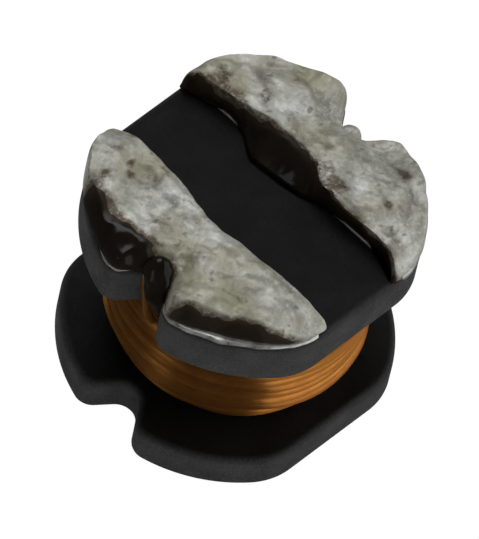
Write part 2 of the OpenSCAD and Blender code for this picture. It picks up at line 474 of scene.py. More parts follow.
# %% Terminal metal
terminal_metal = Finish("terminal_metal", Metallic=0.8)
metal_cloud = terminal_metal.noise(4000, detail=4)
metal_colour = terminal_metal.ramp(metal_cloud, (0.35, (0.42, 0.42, 0.38)),
                                   (0.65, (0.80, 0.80, 0.77)))
TERMINAL_METAL = terminal_metal.set(
    Base_Color=metal_colour, Roughness=terminal_metal.spread(metal_cloud, 0.25, 0.45),
    Normal=terminal_metal.bump(terminal_metal.noise(15000, detail=3), 0.006 * MM))
print("finish:", TERMINAL_METAL.name)


# %% Flux
flux = Finish("flux", Specular_IOR_Level=0.17)
flux_cloud = flux.noise(1200, detail=4, distortion=0.5)
flux_thin = flux.attribute("thin")
flux_colour = flux.ramp(flux_cloud, (0.3, (0.0060, 0.0050, 0.0040)),
                        (0.7, (0.016, 0.0115, 0.0075)))
flux_colour = flux.blend(flux_thin, flux_colour, (0.026, 0.016, 0.009))
flux_dull = flux.math("MULTIPLY", flux_thin, 0.35)
flux_dull = flux.math("ADD", flux_dull, flux.spread(flux_cloud, 0.08, 0.20))
FLUX = flux.set(Base_Color=flux_colour, Roughness=flux_dull,
                Normal=flux.bump(flux.noise(2500, detail=2), 0.010 * MM))
print("finish:", FLUX.name)


# %% [markdown]
# ## The ferrite core
# The core could be two flanges and a post joined with booleans. Here it is one skin
# instead. Its rings run from the middle of the plain flange's outer face, round the
# rim, in to the post, up the post, and out and round again over the terminal flange.
# Between rim and post, a ring is part outline and part circle.

# %% Flange rings
def rim_rings(bottom, top):
    """Rings up a flange's edge: a quarter round, the wall and a quarter round. At angle
    a the inset is r (1 - sin a), and the height from the face is r (1 - cos a)."""
    turn = np.linspace(0, np.pi / 2, 7)
    inset = RIM_RADIUS * (1 - np.sin(turn))
    rise = RIM_RADIUS * (1 - np.cos(turn))
    wall = np.linspace(bottom + RIM_RADIUS, top - RIM_RADIUS, 5)[1:-1]
    insets = np.concatenate([inset, np.zeros(len(wall)), inset[::-1]])
    heights = np.concatenate([bottom + rise, wall, top - rise[::-1]])
    return [at_height(flange_outline(i), z) for i, z in zip(insets, heights)]


def face_rings(z, shares, inner):
    """Rings across a flat face: each is the outline drawn in to the rounding, mixed with
    the loop `inner` by the share of the way in."""
    outer = flange_outline(RIM_RADIUS)
    return [at_height((1 - share) * outer + share * inner, z) for share in shares]


print("rings up a flange's edge:", len(rim_rings(0, PLAIN_FLANGE)))


# %% Core
def core_rings():
    """The whole core, from the pole of the plain face to the pole of the other."""
    rim = flange_outline(RIM_RADIUS)
    post = POST_RADIUS * circle(np.arctan2(rim[:, 1], rim[:, 0]))
    middle = np.zeros_like(rim)
    to_middle = np.array([0.02, 0.06, 0.14, 0.26, 0.40, 0.55, 0.70, 0.85, 0.95])
    to_post = np.array([0.03, 0.1, 0.25, 0.45, 0.7, 0.9, 1.0])
    low_face, high_face = PLAIN_FLANGE, CORE_TOP - TERMINAL_FLANGE
    rings = face_rings(0, to_middle[::-1], middle)
    rings += rim_rings(0, PLAIN_FLANGE)
    rings += face_rings(low_face, to_post, post)
    rings += [at_height(post, z) for z in np.linspace(low_face, high_face, 6)[1:-1]]
    rings += face_rings(high_face, to_post[::-1], post)
    rings += rim_rings(high_face, CORE_TOP)
    rings += face_rings(CORE_TOP, to_middle, middle)
    return np.array(rings)


def pressed_share(rings):
    """How far each point is turned from a ground face to a side, from 0 to 1: its share of the
    sides' painted light.
    With its distance from the nearest face as r (1 - cos a), the share is sin a."""
    faces = np.array([0, PLAIN_FLANGE, CORE_TOP - TERMINAL_FLANGE, CORE_TOP])
    away = np.abs(rings[..., 2:] - faces).min(-1) / RIM_RADIUS
    return np.sqrt(1 - (1 - np.clip(away, 0, 1)) ** 2)


rings_of_core = core_rings()
core = make_piece("drum_core", [rings_of_core], FERRITE,
                  {"pressed": [pressed_share(rings_of_core)]})
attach(core, "root")
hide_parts("ferrite_core")


# %% [markdown]
# ## The winding
# The wire is a round tube carried along a path. Its outer layer is a helix that climbs
# one wire's width in each turn. Next to the plain flange the turns step in, because the
# wire starts there with fewer layers. Wound wire never lies quite even, so the path
# wanders a little. The last turn moves out to the notch, turns up, rises along the
# notch and folds over onto the terminal, inside the solder. The turns underneath can't
# be seen, so a plain barrel stands for them.

# %% Tubes
def tube(path, side, radius, sides=14):
    """Rings of a round wire. `side` points across the path at each point: made square to
    the path, it is one axis of the ring, and the cross product gives the other."""
    travel = np.gradient(path, axis=0)
    travel /= np.linalg.norm(travel, axis=1)[:, None]
    first = side - np.einsum("ij,ij->i", side, travel)[:, None] * travel
    first /= np.linalg.norm(first, axis=1)[:, None]
    second = np.cross(travel, first)
    angle = full_turn(sides)[None, :, None]
    return path[:, None] + radius * (np.cos(angle) * first[:, None]
                                     + np.sin(angle) * second[:, None])


window = CORE_TOP - PLAIN_FLANGE - TERMINAL_FLANGE
TURNS = int((window - 2 * WINDING_GAP) / (2 * WIRE_RADIUS))
first_turn_z = PLAIN_FLANGE + window / 2 - (TURNS / 2 - 0.5) * 2 * WIRE_RADIUS
last_turn_z = first_turn_z + (TURNS - 1) * 2 * WIRE_RADIUS
middle_z = (first_turn_z + last_turn_z) / 2
lead_x = max(HALF_LENGTH - NOTCH_DEPTH, WINDING_RADIUS) + LEAD_GAP + WIRE_RADIUS
lead_angle = math.atan2(LEAD_BEND, lead_x)
print("turns in the outer layer:", TURNS)


# %% Outer layer
STEPS_PER_TURN = 144
WANDER_OUT, WANDER_UP = 0.022 * MM, 0.014 * MM


def turn_radius(z):
    """Radius of the wire's centre: it bulges at mid-height by the crown, and narrows
    by the taper in a straight line down to the plain flange."""
    crown = WINDING_CROWN * ((z - middle_z) / (window / 2)) ** 2
    taper = WINDING_TAPER * np.clip(1 - (z - first_turn_z + WIRE_RADIUS) / TAPER_HEIGHT, 0, 1)
    return WINDING_RADIUS - WIRE_RADIUS - crown - taper


def helix():
    """Path of the outer layer, and the direction outwards at each point. It runs
    anticlockwise seen from below, so that it ends at the notch at -X. The height grows by
    a wire's width in each turn, and two sets of waves move the wire in and out, and up
    and down. They, and the winding's small shift off centre, fade in from both ends."""
    share = np.linspace(0, 1, (TURNS - 1) * STEPS_PER_TURN + 1)
    angle = math.pi + lead_angle + LEAD_WRAP + 2 * np.pi * (TURNS - 1) * (1 - share)
    z = first_turn_z + (last_turn_z - first_turn_z) * share
    along = (angle * WINDING_RADIUS)[:, None]
    wander = np.clip(np.minimum(share, 1 - share) * 30, 0, 1)
    radius = turn_radius(z) + WANDER_OUT * wander * waves(along, 3, 9 * MM, 1.5 * MM)
    z = z + WANDER_UP * wander * waves(along, 4, 7 * MM, 1.5 * MM)
    outward = at_height(circle(angle), 0)
    path = OFF_CENTRE * wander[:, None] + circle(angle) * radius[:, None]
    return at_height(path, z), outward


turn_path, turn_side = helix()
print("wire in the outer layer, mm:",
      round(np.linalg.norm(np.diff(turn_path, axis=0), axis=1).sum() / MM, 1))


# %% Leads
def lead_path(shift):
    """Path of the lead at -X, from the top turn to its tip, and the direction across it.
    It moves outwards along a cosine step, turns up in a quarter circle, and folds over in
    a smaller one. As it rises it also moves `shift` along the notch."""
    wrap_steps, turn_steps, rise_steps, tail_steps = 40, 12, 8, 7
    share = np.linspace(0, 1, wrap_steps)
    start, end = turn_radius(last_turn_z), math.hypot(lead_x, LEAD_BEND)
    angle = math.pi + lead_angle + LEAD_WRAP * (1 - share)
    radius = start + (end - start) * (1 - np.cos(np.pi * share)) / 2
    out = at_height(radius[:, None] * circle(angle), last_turn_z)
    turn = np.linspace(0, np.pi / 2, turn_steps)
    bend = np.column_stack([0 * turn - lead_x, -LEAD_BEND * (1 - np.sin(turn)),
                            last_turn_z + LEAD_BEND * (1 - np.cos(turn))])[1:]
    upright = np.zeros((rise_steps, 3)) - [lead_x, 0, 0]
    upright[:, 2] = np.linspace(bend[-1, 2], CORE_TOP, rise_steps + 2)[1:-1]
    fold = np.column_stack([-lead_x + LEAD_FOLD * (1 - np.cos(turn)), 0 * turn,
                            CORE_TOP + LEAD_FOLD * np.sin(turn)])
    fold_side = np.column_stack([-np.cos(turn), 0 * turn, np.sin(turn)])
    tail = fold[-1] + np.linspace(0, 1, tail_steps + 1)[1:, None] * [LEAD_TAIL, 0, 0]
    path = np.concatenate([out, bend, upright, fold, tail])
    climb = np.clip((path[:, 2] - last_turn_z) / (CORE_TOP - last_turn_z), 0, 1)
    path[:, 1] += shift * climb * climb * (3 - 2 * climb)
    rise_side = np.tile([-1.0, 0, 0], (len(bend) + rise_steps, 1))
    return path, np.concatenate([at_height(circle(angle), 0), rise_side, fold_side,
                                 np.tile([0, 0, 1.0], (tail_steps, 1))])


near_path, near_side = lead_path(LEAD_SHIFT)
far_path, far_side = lead_path(0.0)
print("tip of the far lead, mm:", np.round(far_path[-1] * [-1, 1, 1] / MM, 2))


# %% Winding
BARREL_REACH = 0.68 * WIRE_RADIUS


def barrel_rings():
    """The turns under the outer layer: a smooth barrel whose rings follow its radius, and
    which is closed on the post at both ends. It reaches BARREL_REACH beyond the middle of
    the outer wire, so that nothing shows through between two turns."""
    z = np.linspace(first_turn_z - 0.5 * WIRE_RADIUS, last_turn_z + 0.5 * WIRE_RADIUS, 30)
    ring = circle(full_turn(120))
    radius = turn_radius(z) + BARREL_REACH
    outer = [at_height(OFF_CENTRE + r * ring, h) for r, h in zip(radius, z)]
    first, last = (at_height(POST_RADIUS * ring, h) for h in (z[0], z[-1]))
    return np.array([first, *outer, last])


def tone_of(rings, seed):
    """A tone from 0 to 1 for each ring of a wire, the same all the way round it. It
    changes in waves of 400 to 30 rings."""
    tone = 0.5 + 0.5 * waves(np.arange(len(rings))[:, None] * 1.0, seed, 400, 30)
    return np.repeat(np.clip(tone, 0, 1)[:, None], rings.shape[1], axis=1)


whole_path = np.concatenate([turn_path, near_path[1:]])
whole_side = np.concatenate([turn_side, near_side[1:]])
wire_stacks = [tube(whole_path, whole_side, WIRE_RADIUS),
               tube(far_path * [-1, 1, 1], far_side * [-1, 1, 1], WIRE_RADIUS), barrel_rings()]
winding = make_piece("copper_winding", wire_stacks, COPPER,
                     {"tone": [tone_of(rings, 11 + k) for k, rings in enumerate(wire_stacks)]})
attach(winding, "root")
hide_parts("winding")


# %% [markdown]
# ## The pads
# The terminals, the solder and the flux all follow one outline: the part of the flange
# beyond the bare channel. Its straight edge and its outer arcs move inwards by different
# amounts, so the loop is drawn three times, and any mixture of insets is found between
# those drawings. Pads are worked out at +X. The one at -X is the mirror image.

# %% Pad outline
PAD_CORNER = 0.07 * MM


def pad_half(inner, outer):
    """Half of a pad at +X, from the middle of its straight edge round to the notch. The
    straight edge is moved in by `inner`, and the arcs by `outer`."""
    reach = CHANNEL_HALF + inner + PAD_CORNER - corner_x
    rise = math.sqrt((CORNER_RADIUS - outer - PAD_CORNER) ** 2 - reach ** 2)
    centre = (corner_x + reach, corner_y + rise)
    meet = math.atan2(rise, reach)
    return np.concatenate([
        line((CHANNEL_HALF + inner, 0), (CHANNEL_HALF + inner, centre[1]), 64),
        arc(centre, PAD_CORNER, math.pi, meet, 10),
        arc((corner_x, corner_y), CORNER_RADIUS - outer, meet, corner_angle, 20),
        arc((side_x, 0), SIDE_RADIUS - outer, corner_angle, lip_angle, 36),
        notch_half(outer)[::-1],
        [[notch_x - NOTCH_FLOOR_RADIUS - outer, 0]]])


def pad_loop(inner, outer):
    """Closed loop round the pad at +X, from the middle of its straight edge."""
    half = pad_half(inner, outer)
    return np.concatenate([half[:-1], (half * [1, -1])[::-1][:-1]])


print("points round a pad:", len(pad_loop(0, 0)))


# %% Pads moved inwards
SPINE_X, SPINE_END, SPINE_RADIUS = 1.6 * MM, 1.7 * MM, 0.15 * MM
DEEP = 0.28 * MM
EDGE_LOOP = pad_loop(0, 0)
INNER_STEP = (pad_loop(DEEP, 0) - EDGE_LOOP) / DEEP
OUTER_STEP = (pad_loop(0, DEEP) - EDGE_LOOP) / DEEP


def pad_at(inner, outer):
    """The pad's loop with insets that may differ from point to point."""
    inner, outer = (np.broadcast_to(inset, len(EDGE_LOOP))[:, None]
                    for inset in (inner, outer))
    return EDGE_LOOP + INNER_STEP * inner + OUTER_STEP * outer


def inward(outline, outer_rings, inner_rings):
    """Loops that fill a pad. A pad isn't round, so the loops first shrink to a narrow
    capsule round a line along its middle, each point straight towards that line. Then the
    capsule shrinks to the pad's middle."""
    spine = np.column_stack([np.full(len(outline), SPINE_X),
                             np.clip(outline[:, 1], -SPINE_END, SPINE_END)])
    away = outline - spine
    capsule = spine + SPINE_RADIUS * away / np.linalg.norm(away, axis=1)[:, None]
    middle = np.array([SPINE_X, 0])
    to_capsule = np.linspace(0, 1, outer_rings + 1)[1:, None, None]
    to_middle = np.linspace(0, 1, inner_rings + 1)[1:-1, None, None]
    return np.concatenate([outline + (capsule - outline) * to_capsule,
                           capsule + (middle - capsule) * to_middle])


print("rings that fill a pad:", len(inward(EDGE_LOOP, 38, 28)))


# %% Edge tables
EDGE_FADE = 0.9 * MM


def table(*pairs):
    """Pairs (y, value) in millimetres, as two arrays in metres."""
    y, value = np.array(pairs).T * MM
    return y, value


def read(pairs, y):
    """The table's value at y, in a straight line between its pairs."""
    return np.interp(y, *pairs)


def shift_edge(outline, pairs):
    """Moves the straight edge to the line x(y) of a table. The shift fades away behind
    it, so that the outer arcs stay."""
    fade = np.clip(1 - (outline[:, 0] - CHANNEL_HALF) / EDGE_FADE, 0, 1) ** 2
    moved = outline.copy()
    moved[:, 0] += (read(pairs, outline[:, 1]) - CHANNEL_HALF) * fade
    return moved


NEAR_EDGE = table((-2.6, 0.76), (-2.2, 0.82), (-1.9, 0.85), (-1.45, 0.84), (-1.0, 0.93),
                  (-0.5, 0.93), (-0.15, 1.01), (0.15, 1.01), (0.5, 0.97), (0.87, 0.86),
                  (1.6, 0.79), (2.5, 0.78))
FAR_EDGE = table((-2.6, 0.80), (-2.4, 0.91), (-1.9, 0.96), (-1.1, 0.90), (-0.64, 0.93),
                 (-0.38, 1.07), (-0.09, 1.22), (0.15, 1.29), (0.58, 1.27), (0.87, 1.24),
                 (1.39, 1.10), (1.54, 1.02), (1.91, 0.97), (2.4, 0.94), (2.57, 0.75))
FAR_FOOT = table((-2.6, 0.72), (-2.45, 0.86), (-2.2, 0.985), (-1.9, 1.0), (-1.2, 0.985),
                 (-0.65, 0.92), (-0.32, 0.78), (0.09, 0.70), (0.42, 0.67), (0.75, 0.64),
                 (0.94, 0.74), (1.14, 0.88), (1.42, 0.985), (1.62, 1.0), (1.85, 0.975),
                 (2.2, 0.84), (2.6, 0.72))
print("furthest reach of the far pad's foot, x in mm:", round(FAR_FOOT[1].min() / MM, 3))


# %% [markdown]
# ## The solder
# Each terminal carries a lump of solder about 0.4 millimetres high. It wets the terminal
# to its edge, so its wall is steep, and it rounds over into an uneven top. The lump is a
# skin of rings: a wall that rounds over in a quarter ellipse, then rings that shrink
# towards the middle of the pad. The top's height is a sum: waves, round rises and
# hollows, and long ridges and grooves where the melt drew back as it froze. The near
# pad, at -X, and the far pad, at +X, each have their own table of such forms.

# %% Relief
def rise(x, y, radius, height, stretch=1.0):
    """A round rise or hollow, in millimetres: height times exp(-(distance / radius)^2).
    `stretch` makes it longer along y."""
    def relief(place):
        away = (place - np.array([x, y]) * MM) / (np.array([radius, radius * stretch]) * MM)
        return height * MM * np.exp(-(away ** 2).sum(-1))
    return relief


def ridge(width, height, *corners):
    """A long ridge, or a groove if `height` is below zero, along a line through corners:
    height times exp(-(distance to the line / width)^2)."""
    corners = np.array(corners) * MM

    def relief(place):
        nearest = np.full(place.shape[:-1], np.inf)
        for start, end in zip(corners[:-1], corners[1:]):
            along = np.clip(((place - start) @ (end - start)) / ((end - start) ** 2).sum(), 0, 1)
            away = np.linalg.norm(place - start - along[..., None] * (end - start), axis=-1)
            nearest = np.minimum(nearest, away)
        return height * MM * np.exp(-(nearest / (width * MM)) ** 2)
    return relief


def total(reliefs, place):
    """The sum of several reliefs at each place."""
    return sum((relief(place) for relief in reliefs), np.zeros(place.shape[:-1]))


print("a 1 mm rise, one radius from its middle, mm:",
      round(float(rise(0, 0, 1, 1)(np.array([MM, 0]))) / MM, 3))


# %% Solder rings
WALL_RINGS = 14
STEEP, STEEP_FADE = 0.08 * MM, 0.2 * MM
BULGE = 0.03 * MM


def solder_rings(look):
    """Rings of one lump, and how far each is up the wall, from 0 to 1. On the wall, at
    angle a, the inset is setback + shoulder (1 - cos a) and the height is sin a. The
    straight edge goes from the line of its foot to the line of its top: in the same way
    where it is steep, and evenly where the foot runs out into the channel."""
    turn = np.linspace(0, np.pi / 2, WALL_RINGS)
    setback, shoulder = (read(look[key], EDGE_LOOP[:, 1]) for key in ("setback", "shoulder"))
    rings, up_wall = [], []
    for a in turn:
        step = 1 - math.cos(a)
        outline = pad_at(0, setback + shoulder * step)
        foot, top = shift_edge(outline, look["foot"]), shift_edge(outline, look["top"])
        steep = 1 - np.clip((np.abs(top[:, :1] - foot[:, :1]) - STEEP) / STEEP_FADE, 0, 1)
        outline = foot + (top - foot) * (steep * step + (1 - steep) * math.sin(a))
        bulge = BULGE * waves(outline, look["seed"], 1.5 * MM, 0.3 * MM) * math.sin(a)
        outline = outline - OUTER_STEP * bulge[:, None]
        rings.append(at_height(outline, math.sin(a)))
        up_wall.append(math.sin(a))
    rings += [at_height(loop, 1) for loop in inward(rings[-1][:, :2], 38, 28)]
    up_wall += [1.0] * (len(rings) - WALL_RINGS)
    return np.array(rings), np.array(up_wall)[:, None]


print("rings up a lump's wall:", WALL_RINGS)


# %% Solder lump
SWELL, GRAIN, RAGGED, SOAKED = 0.030 * MM, 0.006 * MM, 0.045, 0.2


def solder_lump(name, node, look, mirror):
    """One solder lump. The height of its top is a base height plus the relief, and the
    wall reaches up to it. Its own skin is grainy. The skin without the grain and the
    flux's cover are handed on for the flux, which also soaks into the metal beside it and
    stains it, less and less over SOAKED millimetres."""
    rings, up_wall = solder_rings(look)
    place = rings[..., :2]
    top = read(look["height"], place[..., 1]) + total(look["reliefs"], place)
    top += SWELL * waves(place, look["seed"] + 1, 1.4 * MM, 0.3 * MM)
    top = np.clip(top, 0.01 * MM, look["limit"] * MM)
    smooth = rings.copy()
    smooth[..., 2] = TERMINAL_TOP + top * rings[..., 2]
    grainy = top + GRAIN * waves(place, look["seed"] + 2, 0.3 * MM, 0.12 * MM)
    rings[..., 2] = TERMINAL_TOP + grainy * rings[..., 2]
    cover = look["cover"](place, up_wall)
    cover += RAGGED * waves(place, look["seed"] + 3, 1.2 * MM, 0.3 * MM)
    soaked = np.clip(1 + cover / SOAKED, 0, 1) ** 2
    stain = np.clip(total(look["stains"], place) / MM + soaked, 0, 1)
    stacks = [rings * [mirror, 1, 1]] + look["drops"]
    stains = [stain] + [np.zeros(stack.shape[:2]) for stack in look["drops"]]
    piece = make_piece(name, stacks, SOLDER, {"stain": stains})
    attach(piece, "root")
    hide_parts(node)
    return smooth, cover


def drop(centre, radii, seed, uneven):
    """Rings of a small uneven drop: a ball stretched by `radii` and moved in and out by
    waves, both in millimetres. Its poles are at the top and at the bottom."""
    polar = np.linspace(0.08, np.pi - 0.08, 22)
    ball = np.array([at_height(math.sin(p) * circle(full_turn(40)), math.cos(p))
                     for p in polar])
    swell = 1 + uneven * waves(ball, seed, 2.0, 0.5)
    return (np.array(centre) + np.array(radii) * ball * swell[..., None]) * MM


print("points of a drop:", drop((0, 0, 0), (1, 1, 1), 61, 0.06).size // 3)


# %% Where the flux lies
def near_cover(place, up_wall):
    """Flux on the near pad: all that lies beyond the line of NEAR_SILVER, at any height.
    In millimetres inside the covered area, and below zero outside it."""
    return (place[..., 0] - read(NEAR_SILVER, place[..., 1])) / MM


def far_cover(place, up_wall):
    """Flux on the far pad: the foot of the wall, up to FAR_WALL, and the whole slope where
    the foot runs out into the channel, but no further than FAR_REACH behind the edge. The
    wall counts as 0.3 millimetres high."""
    behind_edge = (place[..., 0] - read(FAR_EDGE, place[..., 1])) / MM
    on_wall, reach = (read(pairs, place[..., 1]) / MM for pairs in (FAR_WALL, FAR_REACH))
    return np.minimum(np.maximum(on_wall - 0.3 * up_wall, -behind_edge - 0.02),
                      reach - behind_edge)


NEAR_SILVER = table((-2.62, 1.40), (-2.54, 1.27), (-2.45, 1.39), (-2.33, 1.53),
                    (-2.13, 1.73), (-1.83, 1.93), (-1.61, 2.07), (-1.35, 2.24), (-0.9, 2.54),
                    (-0.62, 2.74), (-0.45, 2.6), (-0.3, 2.3), (-0.2, 2.15), (0.0, 2.04),
                    (0.26, 2.2), (0.46, 2.13), (0.87, 2.12), (1.1, 2.2), (1.28, 2.22),
                    (1.7, 2.12), (1.95, 2.12), (2.1, 2.3), (2.2, 2.9))
FAR_WALL = table((-2.6, 0.10), (-2.2, 0.20), (2.1, 0.20), (2.5, 0.09), (2.6, 0.07))
FAR_REACH = table((-2.6, 0.06), (-2.3, 0.12), (-1.9, 0.22), (3, 0.22))
print("most flux behind the far edge, mm:", round(FAR_REACH[1].max() / MM, 2))


# %% Far pad
FAR_GROOVES = (((2.0, 1.75), (2.25, 1.45), (2.28, 1.15), (2.12, 0.7)),
               ((2.25, -1.0), (2.2, -1.3), (1.95, -1.7), (1.6, -2.05)))
FAR_LOOK = {
    "height": table((-2.63, 0.12), (-2.4, 0.30), (-2.1, 0.42), (-1.8, 0.44), (2.2, 0.44),
                    (2.45, 0.40), (2.63, 0.30)),
    "limit": 0.515, "seed": 21, "foot": FAR_FOOT, "top": FAR_EDGE, "cover": far_cover,
    "setback": table((-2.3, -0.03), (-1.0, -0.02), (0, 0.02), (3, 0.01)),
    "shoulder": table((-2.4, 0.06), (-0.8, 0.09), (0.8, 0.09), (2.4, 0.06)),
    "reliefs": [ridge(0.10, -0.035, *FAR_GROOVES[0]), ridge(0.11, -0.03, *FAR_GROOVES[1]),
                rise(2.5, 0.0, 0.62, -0.26), rise(2.6, -0.7, 0.55, -0.15),
                rise(1.4, 1.9, 0.6, 0.06), rise(1.3, 2.4, 0.6, 0.05),
                rise(1.75, -0.35, 0.4, 0.04), rise(2.1, -1.8, 0.5, 0.06),
                ridge(0.16, 0.03, (1.15, 1.9), (1.25, 1.0)),
                ridge(0.16, 0.04, (1.25, -0.5), (1.1, -1.2), (1.1, -2.1))],
    "stains": [ridge(0.13, 0.5, (1.70, 1.72), (1.66, 1.55), (1.56, 1.33)),
               rise(1.53, -1.61, 0.09, 1.0), rise(2.22, -1.36, 0.09, 0.9, 1.5),
               ridge(0.09, 0.35, *FAR_GROOVES[0]), ridge(0.08, 0.42, *FAR_GROOVES[1]),
               rise(1.2, -0.75, 0.14, 0.6), ridge(0.1, 0.5, (1.0, 2.2), (1.12, 1.5)),
               rise(1.3, 2.2, 0.15, 0.4), rise(1.6, -0.1, 0.12, 0.45)],
    "drops": [drop((2.30, 0.02, 4.12), (0.21, 0.21, 0.24), 61, 0.06)]}
far_rings, far_flux = solder_lump("solder_lump_start", "start_solder", FAR_LOOK, mirror=1)


# %% Near pad
NEAR_LOOK = {
    "height": table((-2.63, 0.02), (-2.5, 0.09), (-2.4, 0.14), (-2.2, 0.23), (-1.9, 0.34),
                    (-1.6, 0.36), (3, 0.36)),
    "limit": 0.5, "seed": 31, "foot": NEAR_EDGE, "top": NEAR_EDGE, "cover": near_cover,
    "setback": table((-2.6, 0.05), (-2.3, 0.11), (-2.0, 0.17), (-1.5, 0.18), (-0.9, 0.12),
                     (-0.6, 0.04), (0.3, 0.03), (0.8, 0.07), (1.7, 0.04), (2.1, -0.03)),
    "shoulder": table((-2.6, 0.05), (-2.2, 0.13), (-1.8, 0.22), (1.6, 0.24), (2.0, 0.12),
                      (2.4, 0.06)),
    "reliefs": [ridge(0.16, 0.06, (0.98, 1.5), (1.1, 0.4), (1.15, -0.4), (1.05, -1.2),
                      (1.05, -2.1)),
                ridge(0.35, -0.12, (2.5, 1.7), (2.62, 1.1), (2.5, 0.35)),
                rise(2.35, 0.0, 0.35, -0.14), rise(1.75, -0.75, 0.55, 0.05),
                rise(2.55, -0.62, 0.14, 0.07), rise(1.7, 2.3, 0.5, 0.13),
                rise(1.25, 2.5, 0.3, 0.07), rise(0.76, 2.6, 0.26, -0.26),
                ridge(0.25, -0.05, (2.6, -1.0), (2.35, -1.6), (2.0, -2.05))],
    "stains": [rise(1.21, 2.18, 0.14, 0.55), rise(1.27, 1.83, 0.08, 0.9),
               rise(1.41, 1.66, 0.09, 1.0), rise(1.77, 1.92, 0.12, 0.8),
               rise(2.05, 1.95, 0.16, 0.7),
               ridge(0.13, 0.42, (1.35, -1.45), (1.5, -1.3), (1.72, -1.35)),
               rise(1.25, 0.75, 0.18, 0.4, 1.8), rise(1.75, 0.55, 0.2, 0.35),
               ridge(0.08, 0.5, (2.05, 1.5), (2.15, 0.8), (2.0, 0.3))],
    "drops": []}
near_rings, near_flux = solder_lump("solder_lump_finish", "finish_solder", NEAR_LOOK, mirror=-1)


# %% [markdown]
# ## The flux
# Flux floats on melted solder, runs down its sides and sets hard as a dark glossy film.
# The film is a copy of the solder's own skin, moved outwards by its thickness. Where the
# solder is bare the thickness is below zero, so the film passes under the metal, and the
# two skins cross in a ragged line as the real ones do. One thick run of flux also went
# down the notch of the near pad, beside the wire. Its lower part, over the notch's side
# wall, is painted shade: a dark sheet laid where that wall lies in shade.

# %% Flux films
FILM_GROWTH, FILM_SINK = 0.12, -1.6


def outward_of(rings):
    """Outward direction at each point of a lump. It turns from level at the foot of the
    wall, at angle 0, to straight up at its top, at angle 90 degrees, and stays so."""
    angle = np.full(len(rings), np.pi / 2)
    angle[:WALL_RINGS] = np.linspace(0, np.pi / 2, WALL_RINGS)
    level = -(INNER_STEP + OUTER_STEP)
    level /= np.linalg.norm(level, axis=1)[:, None]
    direction = np.zeros(rings.shape)
    direction[..., :2] = np.cos(angle)[:, None, None] * level
    direction[..., 2] = np.sin(angle)[:, None]
    return direction


def flux_film(name, rings, cover, thick, mirror):
    """A film over a lump. `cover` is how far each point is inside the wetted area, in
    millimetres. The thickness grows from zero at its edge to `thick` over FILM_GROWTH."""
    share = np.clip(cover / FILM_GROWTH, FILM_SINK, 1)
    skin = rings + outward_of(rings) * (share * thick * MM)[..., None]
    skin[..., 2] = np.maximum(skin[..., 2], TERMINAL_TOP)
    thin = np.clip(1 - share, 0, 1)
    piece = make_piece(name, [skin * [mirror, 1, 1]], FLUX, {"thin": [thin]})
    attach(piece, "root")


flux_film("flux_finish", near_rings, near_flux, thick=0.030, mirror=-1)
flux_film("flux_start", far_rings, far_flux, thick=0.024, mirror=1)


# %% Flux and painted shade in the notch
def run(path, radii, seed, uneven):
    """Rings of a run of flux that slid down and set, whose lower part is painted shade: level
    circles from top to bottom.
    Centres and radii, in millimetres, follow the Bezier curve of the points given,
    sum C(n, k) s^k (1 - s)^(n - k) point_k. The radii go to nothing at both ends."""
    share = (1 - np.cos(np.linspace(0.03, np.pi - 0.03, 60))) / 2
    last = len(path) - 1
    weight = np.column_stack([math.comb(last, k) * share ** k * (1 - share) ** (last - k)
                              for k in range(last + 1)])
    centre = weight @ np.array(path)
    radius = (weight @ np.array(radii)) * np.sin(np.pi * share) ** 0.5
    spokes = radius[:, None, None] * at_height(circle(full_turn(48)), 0)
    swell = 1 + uneven * waves(centre[:, None] + spokes, seed, 0.6, 0.15)
    return (centre[:, None] + spokes * swell[..., None]) * MM


# Painted shade: below the flux at the top, the run goes on down the notch's side wall, which
# lies in shade, as a dark sheet.
RUN_PATH = [(-2.20, 0.10, 4.50), (-2.28, 0.00, 4.24), (-2.40, -0.16, 4.00),
            (-2.44, -0.26, 3.80), (-2.44, -0.28, 3.46)]
RUN_RADII = [0.34, 0.40, 0.30, 0.20, 0.10]
run_rings = run(RUN_PATH, RUN_RADII, 71, 0.10)
notch_flux_and_painted_shade = make_piece("flux_and_painted_shade_notch", [run_rings], FLUX,
                        {"thin": [np.zeros(run_rings.shape[:2])]})
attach(notch_flux_and_painted_shade, "root")


# %% [markdown]
# ## Terminals
# Each terminal is a thin layer of silver, fired onto the flange. It runs over the
# flange's rounded rim, where its edge shows as a bright line below the solder. The layer
# is a skin of rings: from inside the core up the rim at the layer's thickness, then in
# across the top. How far it wraps down the rim differs along the edge.

# %% Terminals
STAND, SUNK, ROUGH = 0.022 * MM, 0.02 * MM, 0.012 * MM


def layer_rings(wrap):
    """Rings of one terminal. At angle t from the top face, the rim's inset is
    r (1 - sin t) and it is r (1 - cos t) below the face. The layer stands a little
    proud of it, down to the angle `wrap`, which differs from point to point."""
    rough = ROUGH * waves(EDGE_LOOP, 51, 0.8 * MM, 0.15 * MM)
    rings = []
    for share in np.linspace(1, 0, 8):
        t = share * wrap
        inset = RIM_RADIUS * (1 - np.sin(t)) - STAND * np.sin(t)
        height = CORE_TOP - RIM_RADIUS * (1 - np.cos(t)) + STAND * np.cos(t)
        rings.append(at_height(pad_at(0, inset + rough * share), height))
    under = at_height(pad_at(SUNK, RIM_RADIUS + 0.05 * MM), CORE_TOP - SUNK)
    face = pad_at(0.0, RIM_RADIUS + 0.03 * MM)
    across = [at_height(loop, TERMINAL_TOP) for loop in [face, *inward(face, 3, 3)]]
    return np.array([under] + rings + across)


